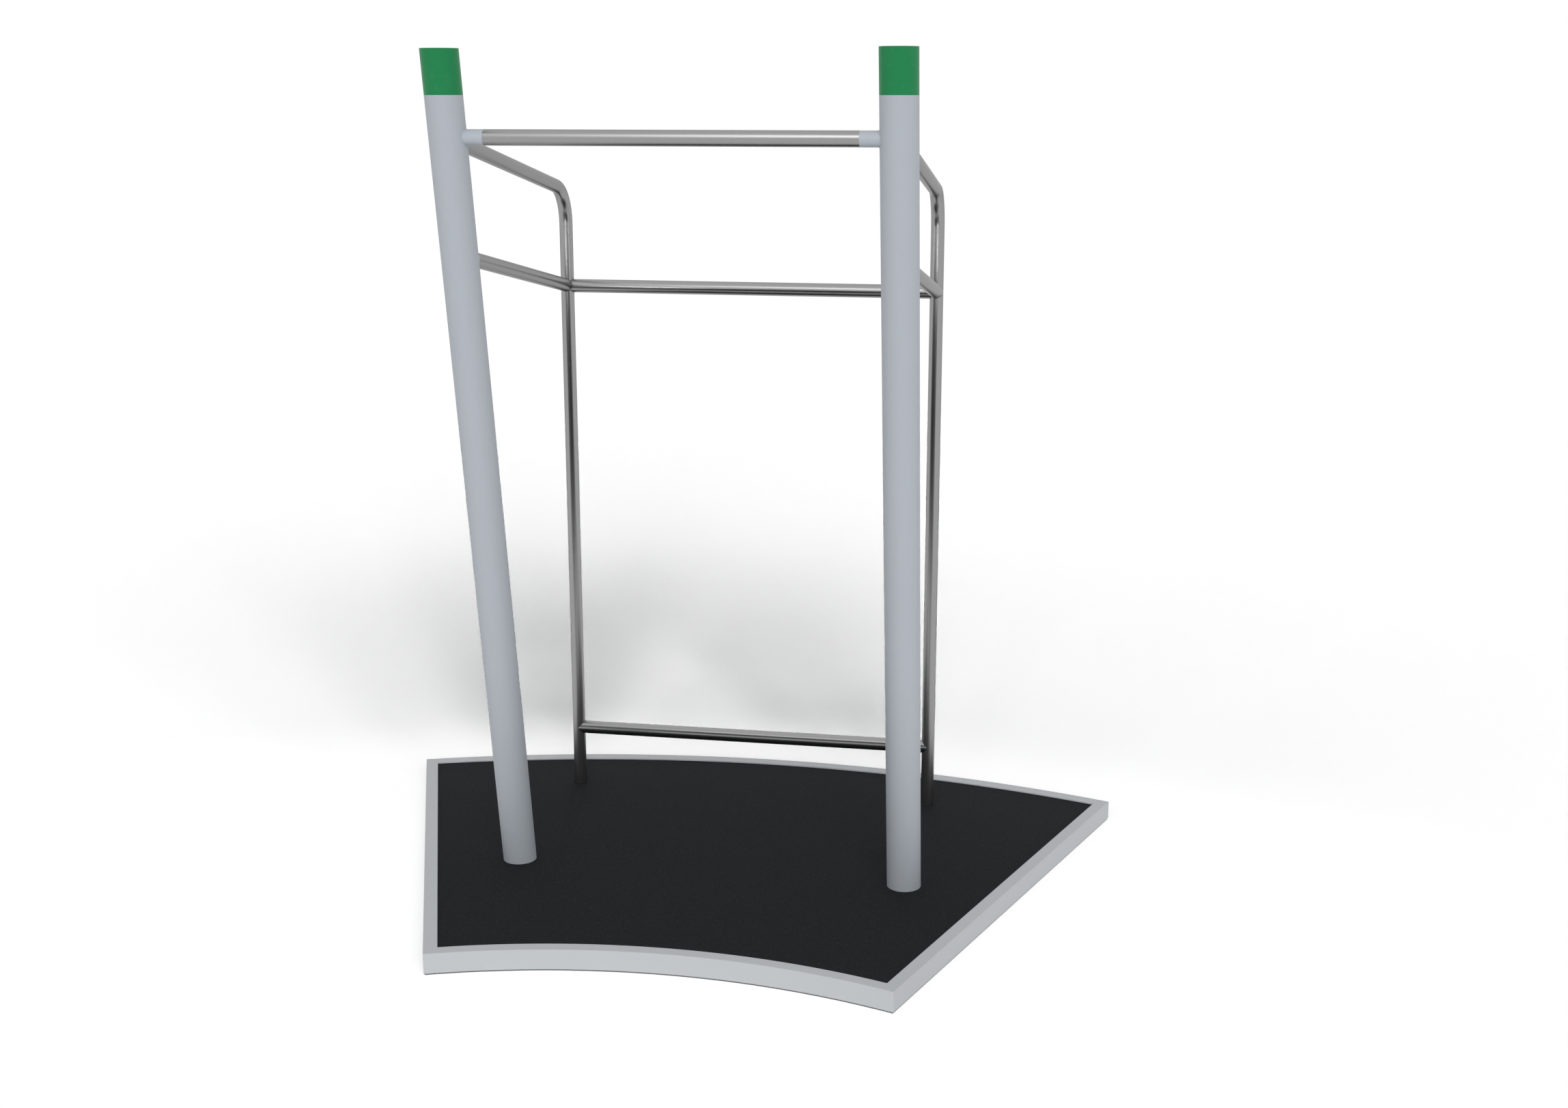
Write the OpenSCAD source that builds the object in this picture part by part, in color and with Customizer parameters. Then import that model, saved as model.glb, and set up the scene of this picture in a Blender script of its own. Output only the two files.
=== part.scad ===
// Outdoor pull-up and dip station on a base that is a sector of a ring.
// The origin is on the floor at the middle of the base's box. +X points right for someone facing the front,
// +Y points to the back and +Z points up. All sizes are in millimetres.

/* [Base] */
// Radius of the concave front edge
front_radius = 1910; // [1800:10:2000]
// Depth of the base from its front edge to its rear edge
base_depth = 1600; // [1500:10:1750]
// Angle that the base spans
sector_angle = 40; // [37:1:44]
// Width of an edge rail
rail_width = 40; // [30:1:50]
// Height of an edge rail
rail_height = 60; // [56:1:80]
// Wall of an edge rail
rail_wall = 3; // [2:0.5:5]
// Chamfer of an edge rail's outer corners
rail_chamfer = 1.5; // [0.5:0.5:2.5]
// Height of the rubber strips under the rails
strip_height = 4; // [2:1:8]
// Setback of a strip from the faces of its rail
strip_setback = 3; // [1:1:8]
// Gap between the ends of neighbouring strips
strip_gap = 1; // [0.5:0.5:4]

/* [Floor] */
// Depth of the mat's surface below the top of the rails
mat_recess = 5; // [2:0.5:8]
// Thickness of the rubber mat
mat_thickness = 30; // [26:1:34]
// Gap round the mat, at the rails and at the four feet
mat_gap = 0.5; // [0.3:0.1:2]
// Thickness of a deck plate
deck_thickness = 10; // [8:1:13]
// Gap between a deck plate and the rails
deck_gap = 2; // [1:0.5:5]
// Gap between the two deck plates
deck_seam = 2; // [1:0.5:4]
// Angle between neighbouring joists
joist_pitch = 8; // [7:0.25:8.5]
// Width of a joist
joist_width = 30; // [24:1:40]
// Wall of a joist
joist_wall = 2; // [1.5:0.5:3]

/* [Posts] */
// Distance between the axes of the two posts, and of the two uprights
post_spacing = 1200; // [1050:10:1240]
// Distance from the front edge back to the axis of a post, at the mat's surface
post_setback = 595; // [500:5:700]
// Lean of the posts towards the front
post_lean = 10; // [6:0.5:12]
// Outer diameter of a post
post_diameter = 101.6; // [88.9:0.1:114.3]
// Wall of a post
post_wall = 3.6; // [2.9:0.1:5]
// Length of post and cap above the top bar's axis, along the post
post_over_bar = 230; // [190:5:280]
// Length of a cap that shows, along the post
cap_length = 120; // [90:5:150]
// Length of the plug that holds a cap in its post, along the post
cap_plug_length = 60; // [40:5:80]
// Wall of the cap and of its plug
cap_wall = 4; // [3:0.5:6]
// Clearance between a cap's plug and the bore of its post
cap_clearance = 0.3; // [0.1:0.05:0.5]

/* [Bars] */
// Outer diameter of every bar and upright
bar_diameter = 42.4; // [33.7:0.1:48.3]
// Wall of every bar and upright
bar_wall = 2.6; // [2:0.1:4]
// Height of the top bar's axis above the mat
top_bar_height = 2200; // [2000:10:2300]
// Slope of the side bars, down towards the back
side_bar_slope = 10; // [6:0.5:14]
// Distance between the axes of an upper bar and a mid bar, square to them
side_bar_gap = 300; // [250:5:380]
// Height of the rear low bar's axis above the mat
low_bar_height = 200; // [120:5:300]
// Distance from the rear edge forward to the axis of an upright
upright_setback = 320; // [250:5:400]
// Radius of the bend between an upper bar and its upright, to the tube's axis
bend_radius = 127; // [100:1:180]
// Length of a stub, from the post's surface to its joint with the bar, square to the post
stub_length = 50; // [44:1:70]
// Root gap at every welded tube end
weld_gap = 0.2; // [0.1:0.05:0.4]
// Width of the dressed seam at each end of a bend
seam_width = 4; // [2:0.5:8]
// Height of that seam over the tube
seam_height = 0.1; // [0.05:0.05:0.3]

/* [Joints] */
// Length of a spigot, half of it in the stub and half in the bar
spigot_length = 70; // [50:2:76]
// Wall of a spigot
spigot_wall = 5; // [3:0.5:7]
// Clearance between a spigot and the tubes that it joins
spigot_clearance = 0.2; // [0.1:0.05:0.4]
// Diameter of a set screw
set_screw = 6; // [4:1:8]
// Clearance round a set screw, a bolt or a deck screw in its threaded hole
thread_clearance = 0.1; // [0.05:0.05:0.2]

/* [Feet] */
// Diameter of a post's flange
post_flange_diameter = 220; // [206:2:240]
// Thickness of a post's flange
post_flange_thickness = 10; // [8:1:12]
// Diameter of the bolt circle of a post's flange
post_bolt_circle = 170; // [150:2:184]
// Diameter of a post's bolt
post_bolt = 12; // [8:1:14]
// Diameter of an upright's flange
upright_flange_diameter = 130; // [124:2:150]
// Thickness of an upright's flange
upright_flange_thickness = 8; // [6:1:10]
// Diameter of the bolt circle of an upright's flange
upright_bolt_circle = 94; // [84:2:100]
// Diameter of an upright's bolt
upright_bolt = 10; // [8:1:12]
// Number of bolts in each flange
bolts_per_flange = 4; // [3:1:6]
// Clearance round a bolt in its flange
bolt_clearance = 0.75; // [0.5:0.25:1.5]
// Diameter of the drain hole in every flange
drain_diameter = 20; // [10:1:28]
// Clearance between a foot's pocket in the mat and what it covers
pocket_clearance = 2; // [1:0.5:3]
// Diameter of a deck screw
deck_screw = 8; // [5:1:10]

/* [Hidden] */
$fn = 96;
// Steps of the base's large arcs
arc_steps = 1440;
rear_radius = front_radius + base_depth;
half_angle = sector_angle / 2;
// Distance from the arc centre to the middle of the base's box
centre_distance = (front_radius * cos(half_angle) + rear_radius) / 2;

rail_bottom = strip_height;
rail_top = rail_bottom + rail_height;
mat_top = rail_top - mat_recess;
mat_bottom = mat_top - mat_thickness;
deck_bottom = mat_bottom - deck_thickness;
joist_height = deck_bottom - rail_bottom;

post_x = post_spacing / 2;
post_radius = post_diameter / 2;
post_bore = post_radius - post_wall;
post_foot_y = front_radius + post_setback;
upright_y = rear_radius - upright_setback;
bar_radius = bar_diameter / 2;
bar_bore = bar_radius - bar_wall;

top_bar_z = mat_top + top_bar_height;
top_bar_y = post_axis_y(top_bar_z);
post_top_z = top_bar_z + post_over_bar * cos(post_lean);
cap_joint_z = post_top_z - cap_length * cos(post_lean);
cap_plug_z = cap_joint_z - cap_plug_length * cos(post_lean);
post_foot_z = mat_bottom + post_flange_thickness;
upright_foot_z = mat_bottom + upright_flange_thickness;

// Where the axes of the side bars cross the axes of the uprights and of the posts
corner_z = top_bar_z - (upright_y - top_bar_y) * tan(side_bar_slope);
mid_bar_z = corner_z - side_bar_gap / cos(side_bar_slope);
low_bar_z = mat_top + low_bar_height;
mid_post_rise = (upright_y - post_foot_y - mat_top * tan(post_lean)) * tan(side_bar_slope);
mid_post_z = (mid_bar_z + mid_post_rise) / (1 - tan(post_lean) * tan(side_bar_slope));
mid_post_y = post_axis_y(mid_post_z);

stub_reach = post_radius + stub_length;
side_stub_reach = stub_reach / cos(post_lean + side_bar_slope);
bend_angle = 90 - side_bar_slope;
bend_tangent = bend_radius * tan(bend_angle / 2);
upper_run = (upright_y - top_bar_y) / cos(side_bar_slope);
mid_run = (upright_y - mid_post_y) / cos(side_bar_slope);

spigot_radius = bar_bore - spigot_clearance;
spigot_bore = spigot_radius - spigot_wall;
set_screw_offset = spigot_length / 4;
set_screw_recess = bar_wall / 4;
// Places of the deck screws along a joist, as shares of its length
deck_screw_places = [0.12, 0.5, 0.88];
// How far a deck screw and its hole reach below the deck
deck_screw_reach = 1.5 * joist_wall;
deck_hole_reach = 2 * joist_wall;
joist_names = [
    "outer_left_joist", "inner_left_joist", "centre_joist", "inner_right_joist", "outer_right_joist"
];
middle_joist = (len(joist_names) - 1) / 2;

// Proportions of hexagon bolts, plain washers and countersunk screws, as shares of the thread's diameter
head_width_share = 1.5;
head_height_share = 0.63;
washer_width_share = 2;
washer_height_share = 0.2;
socket_share = 0.5;
countersink_share = 2;

// How far a cutting shape runs past what it cuts
overrun = 1;
// Lengths of the mitre lines that cut the rails, as multiples of a mitre's own length
mitre_spare = 2;
mitre_depth = 5;
left = -1;
right = 1;

painted_grey = "#AEB4BC";
edge_grey = "#B9BEC1";
cap_green = "#2E8250";
bar_steel = "#9A9A9A";
zinc_steel = "#8E9296";
mat_black = "#28292B";

// Y of a post's axis at height z, measured from the arc centre
function post_axis_y(z) = post_foot_y - (z - mat_top) * tan(post_lean);

// Point at a distance from the arc centre along the right-hand side line, moved inwards by inset
function side_point(distance, inset) = [
    distance * sin(half_angle) - inset * cos(half_angle),
    distance * cos(half_angle) + inset * sin(half_angle)
];

// Where the right-hand side line, moved inwards by inset, crosses a circle about the arc centre
function side_crossing(radius, inset) = side_point(sqrt(radius * radius - inset * inset), inset);

function mirrored_point(point) = [-point[0], point[1]];

// Point on the line from one point through another, share 1 being the second one
function along(from, to, share) = from + (to - from) * share;

// Moves children from the arc centre's frame to the part's frame
module in_place() {
    translate([0, -centre_distance, 0]) children();
}

// Children are drawn for the right-hand side and mirrored for the left-hand one
module on_side(side) {
    in_place() mirror([side == left ? 1 : 0, 0, 0]) children();
}

// Plan of the base with its front, rear and sides moved inwards
module sector_plan(front_inset, rear_inset, side_inset) {
    reach = 1.5 * rear_radius;
    apex = [0, side_inset / sin(half_angle)];
    far_right = apex + reach * [sin(half_angle), cos(half_angle)];
    intersection() {
        difference() {
            circle(r = rear_radius - rear_inset, $fn = arc_steps);
            circle(r = front_radius + front_inset, $fn = arc_steps);
        }
        polygon([apex, far_right, mirrored_point(far_right)]);
    }
}

module chamfered_rectangle(width, height, chamfer) {
    polygon([
        [chamfer, 0], [width - chamfer, 0], [width, chamfer], [width, height - chamfer],
        [width - chamfer, height], [chamfer, height], [0, height - chamfer], [0, chamfer]
    ]);
}

// Section of an edge rail: its width along X from 0, its height along Y from the rail's bottom
module rail_section() {
    translate([0, rail_bottom]) difference() {
        chamfered_rectangle(rail_width, rail_height, rail_chamfer);
        translate([rail_wall, rail_wall])
            square([rail_width - 2 * rail_wall, rail_height - 2 * rail_wall]);
    }
}

// An edge rail bent to an arc, longer at both ends than the base
module arc_rail(inner_radius) {
    spare_angle = 4;
    swept = sector_angle + 2 * spare_angle;
    rotate([0, 0, 90 - swept / 2]) rotate_extrude(angle = swept, $fn = arc_steps)
        translate([inner_radius, 0]) rail_section();
}

// Plan of what lies between the two mitre lines of a pair of corners, as far as depth past their outer ends
module between_mitres(outer_corner, inner_corner, depth) {
    outer_end = along(inner_corner, outer_corner, mitre_spare);
    inner_end = along(outer_corner, inner_corner, mitre_depth);
    far_end = outer_end + [0, depth];
    right_points = [inner_end, outer_end, far_end];
    left_points = [for (index = [2 : -1 : 0]) mirrored_point(right_points[index])];
    polygon(concat(right_points, left_points));
}

front_outer = side_crossing(front_radius, 0);
front_inner = side_crossing(front_radius + rail_width, rail_width);
rear_outer = side_crossing(rear_radius, 0);
rear_inner = side_crossing(rear_radius - rail_width, rail_width);

module front_rail() {
    color(edge_grey) in_place() intersection() {
        arc_rail(front_radius);
        linear_extrude(height = rail_top + overrun) between_mitres(front_outer, front_inner, -rail_width);
    }
}

module rear_rail() {
    color(edge_grey) in_place() intersection() {
        arc_rail(rear_radius - rail_width);
        linear_extrude(height = rail_top + overrun)
            between_mitres(rear_outer, rear_inner, rear_radius - rear_outer[1]);
    }
}

module side_rail(side) {
    mitre_ends = [
        along(front_inner, front_outer, mitre_spare), along(front_outer, front_inner, mitre_spare),
        along(rear_outer, rear_inner, mitre_spare), along(rear_inner, rear_outer, mitre_spare)
    ];
    color(edge_grey) on_side(side) intersection() {
        rotate([0, 0, -half_angle]) translate([-rail_width, rear_radius + rail_width, 0]) rotate([90, 0, 0])
            linear_extrude(height = base_depth + 2 * rail_width) rail_section();
        linear_extrude(height = rail_top + overrun) polygon(mitre_ends);
    }
}

// Rubber strips under the four rails, which carry the station on the floor
module floor_strips() {
    far_side = rail_width - strip_setback;
    end_inset = far_side + strip_gap;
    color(mat_black) in_place() linear_extrude(height = strip_height) {
        difference() {
            sector_plan(strip_setback, strip_setback, strip_setback);
            sector_plan(0, 0, far_side);
        }
        difference() {
            sector_plan(strip_setback, strip_setback, end_inset);
            sector_plan(far_side, far_side, 0);
        }
    }
}

// Turns children, drawn along +Y from the arc centre, to the line of a joist
module at_joist(index) {
    rotate([0, 0, (middle_joist - index) * joist_pitch]) children();
}

module joist_strip(width, length_spare) {
    ends = rail_width + weld_gap - length_spare;
    intersection() {
        translate([-width / 2, 0]) square([width, rear_radius]);
        difference() {
            circle(r = rear_radius - ends, $fn = arc_steps);
            circle(r = front_radius + ends, $fn = arc_steps);
        }
    }
}

module joist(index) {
    color(zinc_steel) in_place() difference() {
        at_joist(index) translate([0, 0, rail_bottom]) difference() {
            linear_extrude(height = joist_height) joist_strip(joist_width, 0);
            translate([0, 0, joist_wall]) linear_extrude(height = joist_height - 2 * joist_wall)
                joist_strip(joist_width - 2 * joist_wall, overrun);
        }
        at_deck_screws() deck_screw_hole();
    }
}

// Children at each deck screw, at the deck's top: three on each joist but the middle one
module at_deck_screws() {
    inner = front_radius + rail_width;
    span = base_depth - 2 * rail_width;
    for (index = [0 : len(joist_names) - 1])
        if (index != middle_joist)
            for (share = deck_screw_places)
                at_joist(index) translate([0, inner + span * share, mat_bottom]) children();
}

// Countersunk head and shank, below the deck's top, grown all round by clearance
module deck_screw_form(clearance, below) {
    head_radius = deck_screw * countersink_share / 2 + clearance;
    shank_radius = deck_screw / 2 + clearance;
    head_height = head_radius - shank_radius;
    translate([0, 0, -head_height]) cylinder(r1 = shank_radius, r2 = head_radius, h = head_height);
    translate([0, 0, -deck_thickness - below]) cylinder(r = shank_radius, h = deck_thickness + below);
}

module deck_screw_hole() {
    deck_screw_form(thread_clearance, deck_hole_reach);
}

module deck_screws() {
    socket_depth = deck_screw * socket_share / 2;
    color(zinc_steel) in_place() at_deck_screws() difference() {
        deck_screw_form(0, deck_screw_reach);
        translate([0, 0, -socket_depth])
            cylinder(d = deck_screw * socket_share, h = socket_depth + overrun, $fn = 6);
    }
}

module deck_plate(side) {
    inset = rail_width + deck_gap;
    color(zinc_steel) difference() {
        on_side(side) difference() {
            translate([0, 0, deck_bottom]) linear_extrude(height = deck_thickness) intersection() {
                sector_plan(inset, inset, inset);
                translate([deck_seam / 2, 0]) square([rear_radius, rear_radius]);
            }
            at_post_bolts() bolt_hole(post_bolt);
            at_upright_bolts() bolt_hole(upright_bolt);
        }
        in_place() at_deck_screws() deck_screw_hole();
    }
}

// Threaded hole in the deck, from its top down
module bolt_hole(diameter) {
    hole_depth = deck_thickness + overrun;
    translate([0, 0, mat_bottom - hole_depth])
        cylinder(r = diameter / 2 + thread_clearance, h = hole_depth + overrun);
}

module rubber_mat() {
    inset = rail_width + mat_gap;
    color(mat_black) in_place() difference() {
        translate([0, 0, mat_bottom]) linear_extrude(height = mat_thickness)
            sector_plan(inset, inset, inset);
        for (side = [left, right]) mirror([side == left ? 1 : 0, 0, 0]) {
            at_post() leaning_rod(post_radius + mat_gap, mat_bottom - overrun, mat_top + overrun);
            at_upright() translate([0, 0, mat_bottom - overrun])
                cylinder(r = bar_radius + mat_gap, h = mat_thickness + 2 * overrun);
            at_post_foot() foot_pocket(post_flange_diameter, post_flange_thickness, post_bolt);
            at_upright() foot_pocket(upright_flange_diameter, upright_flange_thickness, upright_bolt);
        }
    }
}

// Hollow under the mat for a flange, its bolts and its washers
module foot_pocket(flange_diameter, flange_thickness, bolt) {
    stack = flange_thickness + bolt * (washer_height_share + head_height_share);
    translate([0, 0, mat_bottom - overrun])
        cylinder(d = flange_diameter + 2 * pocket_clearance, h = stack + pocket_clearance + overrun);
}

module at_post() {
    translate([post_x, 0, 0]) children();
}

module at_post_foot() {
    translate([post_x, post_axis_y(post_foot_z), 0]) children();
}

module at_upright() {
    translate([post_x, upright_y, 0]) children();
}

// Solid round bar on a post's axis, cut level at both ends
module leaning_rod(radius, low_z, high_z) {
    spare = 2 * radius;
    rod_length = (high_z - low_z) / cos(post_lean) + 2 * spare;
    intersection() {
        translate([0, post_axis_y(low_z), low_z]) rotate([post_lean, 0, 0]) translate([0, 0, -spare])
            cylinder(r = radius, h = rod_length);
        translate([-spare, post_axis_y(high_z) - spare, low_z])
            cube([2 * spare, post_axis_y(low_z) - post_axis_y(high_z) + 2 * spare, high_z - low_z]);
    }
}

module post(side) {
    color(painted_grey) on_side(side) at_post() difference() {
        leaning_rod(post_radius, post_foot_z, cap_joint_z);
        leaning_rod(post_bore, post_foot_z - overrun, cap_joint_z + overrun);
    }
}

// Moulded cap: flush with the post outside, with a plug in the post's bore, hollow from below
module post_cap(side) {
    plug_radius = post_bore - cap_clearance;
    color(cap_green) on_side(side) at_post() difference() {
        union() {
            leaning_rod(post_radius, cap_joint_z, post_top_z);
            leaning_rod(plug_radius, cap_plug_z, cap_joint_z + overrun);
        }
        leaning_rod(plug_radius - cap_wall, cap_plug_z - overrun, post_top_z - cap_wall);
    }
}

// Children at each bolt of a flange whose axis is the Z axis
module at_bolts(circle_diameter) {
    for (index = [0 : bolts_per_flange - 1])
        rotate([0, 0, (index + 0.5) * 360 / bolts_per_flange]) translate([circle_diameter / 2, 0, 0])
            children();
}

module at_post_bolts() {
    at_post_foot() at_bolts(post_bolt_circle) children();
}

module at_upright_bolts() {
    at_upright() at_bolts(upright_bolt_circle) children();
}

module flange(diameter, thickness, bolt_circle, bolt) {
    translate([0, 0, mat_bottom]) difference() {
        cylinder(d = diameter, h = thickness);
        translate([0, 0, -overrun]) {
            cylinder(d = drain_diameter, h = thickness + 2 * overrun);
            at_bolts(bolt_circle) cylinder(d = bolt + 2 * bolt_clearance, h = thickness + 2 * overrun);
        }
    }
}

module post_flange(side) {
    color(painted_grey) on_side(side) at_post_foot()
        flange(post_flange_diameter, post_flange_thickness, post_bolt_circle, post_bolt);
}

module upright_flange(side) {
    color(bar_steel) on_side(side) at_upright()
        flange(upright_flange_diameter, upright_flange_thickness, upright_bolt_circle, upright_bolt);
}

// Hexagon bolt that stands on its washer and ends level with the deck's underside
module bolt_form(bolt, flange_thickness) {
    seat_z = mat_bottom + flange_thickness + bolt * washer_height_share;
    head_corners = bolt * head_width_share / cos(30);
    translate([0, 0, seat_z]) cylinder(d = head_corners, h = bolt * head_height_share, $fn = 6);
    translate([0, 0, deck_bottom]) cylinder(d = bolt, h = seat_z - deck_bottom + overrun);
}

module washer_form(bolt, flange_thickness) {
    translate([0, 0, mat_bottom + flange_thickness]) difference() {
        cylinder(d = bolt * washer_width_share, h = bolt * washer_height_share);
        translate([0, 0, -overrun])
            cylinder(d = bolt + 2 * bolt_clearance, h = bolt * washer_height_share + 2 * overrun);
    }
}

module post_bolts() {
    color(zinc_steel) for (side = [left, right])
        on_side(side) at_post_bolts() bolt_form(post_bolt, post_flange_thickness);
}

module post_washers() {
    color(zinc_steel) for (side = [left, right])
        on_side(side) at_post_bolts() washer_form(post_bolt, post_flange_thickness);
}

module upright_bolts() {
    color(zinc_steel) for (side = [left, right])
        on_side(side) at_upright_bolts() bolt_form(upright_bolt, upright_flange_thickness);
}

module upright_washers() {
    color(zinc_steel) for (side = [left, right])
        on_side(side) at_upright_bolts() washer_form(upright_bolt, upright_flange_thickness);
}

// Children drawn along +Z from a post's axis, with +Y as their underside, turned along the top bar
module along_top_bar() {
    translate([post_x, top_bar_y, top_bar_z]) rotate([-90, 0, 90]) children();
}

// The same along an upper bar and along a mid bar
module along_upper_bar() {
    translate([post_x, top_bar_y, top_bar_z]) rotate([-90 - side_bar_slope, 0, 0]) children();
}

module along_mid_bar() {
    translate([post_x, mid_post_y, mid_post_z]) rotate([-90 - side_bar_slope, 0, 0]) children();
}

// The two holes for set screws, on the underside of the joint at a distance from the post's axis
module set_screw_holes(joint) {
    at_set_screws(joint) cylinder(r = set_screw / 2 + thread_clearance, h = bar_radius + overrun);
}

module at_set_screws(joint) {
    for (offset = [-set_screw_offset, set_screw_offset])
        translate([0, 0, joint + offset]) rotate([-90, 0, 0]) children();
}

// Tube along +Z with both ends open
module tube(outer_radius, inner_radius, start, end) {
    translate([0, 0, start]) difference() {
        cylinder(r = outer_radius, h = end - start);
        translate([0, 0, -overrun]) cylinder(r = inner_radius, h = end - start + 2 * overrun);
    }
}

module stub_tube(joint) {
    difference() {
        tube(bar_radius, bar_bore, 0, joint);
        set_screw_holes(joint);
    }
}

// A post's outside, as the cutter of the tubes welded to it
module post_cutter() {
    at_post() leaning_rod(post_radius + weld_gap, post_foot_z, post_top_z);
}

module top_stub(side) {
    color(painted_grey) on_side(side) difference() {
        along_top_bar() stub_tube(stub_reach);
        post_cutter();
    }
}

module upper_stub(side) {
    color(painted_grey) on_side(side) difference() {
        along_upper_bar() stub_tube(side_stub_reach);
        post_cutter();
    }
}

module mid_stub(side) {
    color(painted_grey) on_side(side) difference() {
        along_mid_bar() stub_tube(side_stub_reach);
        post_cutter();
    }
}

module spigot(joint) {
    half_length = spigot_length / 2;
    difference() {
        tube(spigot_radius, spigot_bore, joint - half_length, joint + half_length);
        set_screw_holes(joint);
    }
}

module top_spigot(side) {
    color(zinc_steel) on_side(side) along_top_bar() spigot(stub_reach);
}

module upper_spigot(side) {
    color(zinc_steel) on_side(side) along_upper_bar() spigot(side_stub_reach);
}

module mid_spigot(side) {
    color(zinc_steel) on_side(side) along_mid_bar() spigot(side_stub_reach);
}

// Two screws of one joint, a little below the tube's surface, with a hexagon socket
module set_screw_pair(joint) {
    socket_depth = set_screw * socket_share;
    at_set_screws(joint) difference() {
        translate([0, 0, spigot_bore])
            cylinder(d = set_screw, h = bar_radius - set_screw_recess - spigot_bore);
        translate([0, 0, bar_radius - socket_depth])
            cylinder(d = set_screw * socket_share, h = socket_depth + overrun, $fn = 6);
    }
}

module set_screws() {
    color(zinc_steel) for (side = [left, right]) on_side(side) {
        along_top_bar() set_screw_pair(stub_reach);
        along_upper_bar() set_screw_pair(side_stub_reach);
        along_mid_bar() set_screw_pair(side_stub_reach);
    }
}

module top_bar() {
    color(bar_steel) difference() {
        in_place() along_top_bar() tube(bar_radius, bar_bore, stub_reach, post_spacing - stub_reach);
        for (side = [left, right]) on_side(side) along_top_bar() set_screw_holes(stub_reach);
    }
}

// Children drawn round the bend's centre, in the plane of an upper bar and its upright
module at_bend() {
    translate([post_x, upright_y - bend_radius, corner_z - bend_tangent]) rotate([90, 0, 90]) children();
}

// Outline of an upper bar and its upright: sloping run, bend and vertical run, longer by spare at both ends.
// A dressed seam stands a hair proud where the bend meets each run.
module upper_bar_path(radius, spare) {
    run_length = upper_run - side_stub_reach - bend_tangent;
    upright_length = corner_z - bend_tangent - upright_foot_z;
    at_bend() {
        rotate_extrude(angle = bend_angle) translate([bend_radius, 0]) circle(r = radius);
        translate([bend_radius, 0, 0]) rotate([90, 0, 0]) bend_end(radius, upright_length + spare);
        rotate([0, 0, bend_angle]) translate([bend_radius, 0, 0]) rotate([-90, 0, 0])
            bend_end(radius, run_length + spare);
    }
}

// Straight run from the end of a bend, with the seam across the joint
module bend_end(radius, length) {
    cylinder(r = radius, h = length);
    translate([0, 0, -seam_width / 2]) cylinder(r = radius + seam_height, h = seam_width);
}

module upper_bar(side) {
    color(bar_steel) on_side(side) difference() {
        upper_bar_path(bar_radius, 0);
        upper_bar_path(bar_bore, overrun);
        along_upper_bar() set_screw_holes(side_stub_reach);
    }
}

// An upright's outside, as the cutter of the tubes welded to it
module upright_cutter() {
    at_upright() translate([0, 0, upright_foot_z]) cylinder(r = bar_radius + weld_gap, h = corner_z);
}

// Half space on one side of the mitre between a mid bar and the rear mid bar
module mitre_cutter(towards_rear_bar) {
    size = 4 * bar_diameter;
    start = towards_rear_bar ? weld_gap / 2 - size : -weld_gap / 2;
    translate([post_x, upright_y, mid_bar_z]) rotate([0, 0, -45])
        translate([start, -size / 2, -size / 2]) cube(size);
}

// Side bar at mid height, coped on to its upright and mitred against the rear mid bar
module mid_bar(side) {
    color(bar_steel) on_side(side) difference() {
        along_mid_bar() difference() {
            tube(bar_radius, bar_bore, side_stub_reach, mid_run);
            set_screw_holes(side_stub_reach);
        }
        upright_cutter();
        mitre_cutter(true);
    }
}

module rear_bar(height_z) {
    translate([-post_x, upright_y, height_z]) rotate([0, 90, 0]) tube(bar_radius, bar_bore, 0, post_spacing);
}

module rear_mid_bar() {
    color(bar_steel) in_place() difference() {
        rear_bar(mid_bar_z);
        for (side = [left, right]) mirror([side == left ? 1 : 0, 0, 0]) {
            upright_cutter();
            mitre_cutter(false);
        }
    }
}

module rear_low_bar() {
    color(bar_steel) in_place() difference() {
        rear_bar(low_bar_z);
        for (side = [left, right]) mirror([side == left ? 1 : 0, 0, 0]) upright_cutter();
    }
}

front_rail();
rear_rail();
side_rail(left);  // left_rail
side_rail(right);  // right_rail
floor_strips();
for (index = [0 : len(joist_names) - 1])
    joist(index);
deck_plate(left);  // left_deck_plate
deck_plate(right);  // right_deck_plate
deck_screws();
rubber_mat();
post(left);  // left_post
post(right);  // right_post
post_cap(left);  // left_post_cap
post_cap(right);  // right_post_cap
post_flange(left);  // left_post_flange
post_flange(right);  // right_post_flange
post_bolts();
post_washers();
top_stub(left);  // left_top_stub
top_stub(right);  // right_top_stub
top_spigot(left);  // left_top_spigot
top_spigot(right);  // right_top_spigot
top_bar();
upper_stub(left);  // left_upper_stub
upper_stub(right);  // right_upper_stub
upper_spigot(left);  // left_upper_spigot
upper_spigot(right);  // right_upper_spigot
upper_bar(left);  // left_upper_bar
upper_bar(right);  // right_upper_bar
mid_stub(left);  // left_mid_stub
mid_stub(right);  // right_mid_stub
mid_spigot(left);  // left_mid_spigot
mid_spigot(right);  // right_mid_spigot
mid_bar(left);  // left_mid_bar
mid_bar(right);  // right_mid_bar
rear_mid_bar();
rear_low_bar();
upright_flange(left);  // left_upright_flange
upright_flange(right);  // right_upright_flange
upright_bolts();
upright_washers();
set_screws();
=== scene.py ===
"""Looks of a pull-up and dip station: finishes, mat, bright bars, weld beads, studio and camera."""

import logging
import math
from collections.abc import Callable, Mapping, Sequence
from dataclasses import dataclass, field
from enum import Enum

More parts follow.
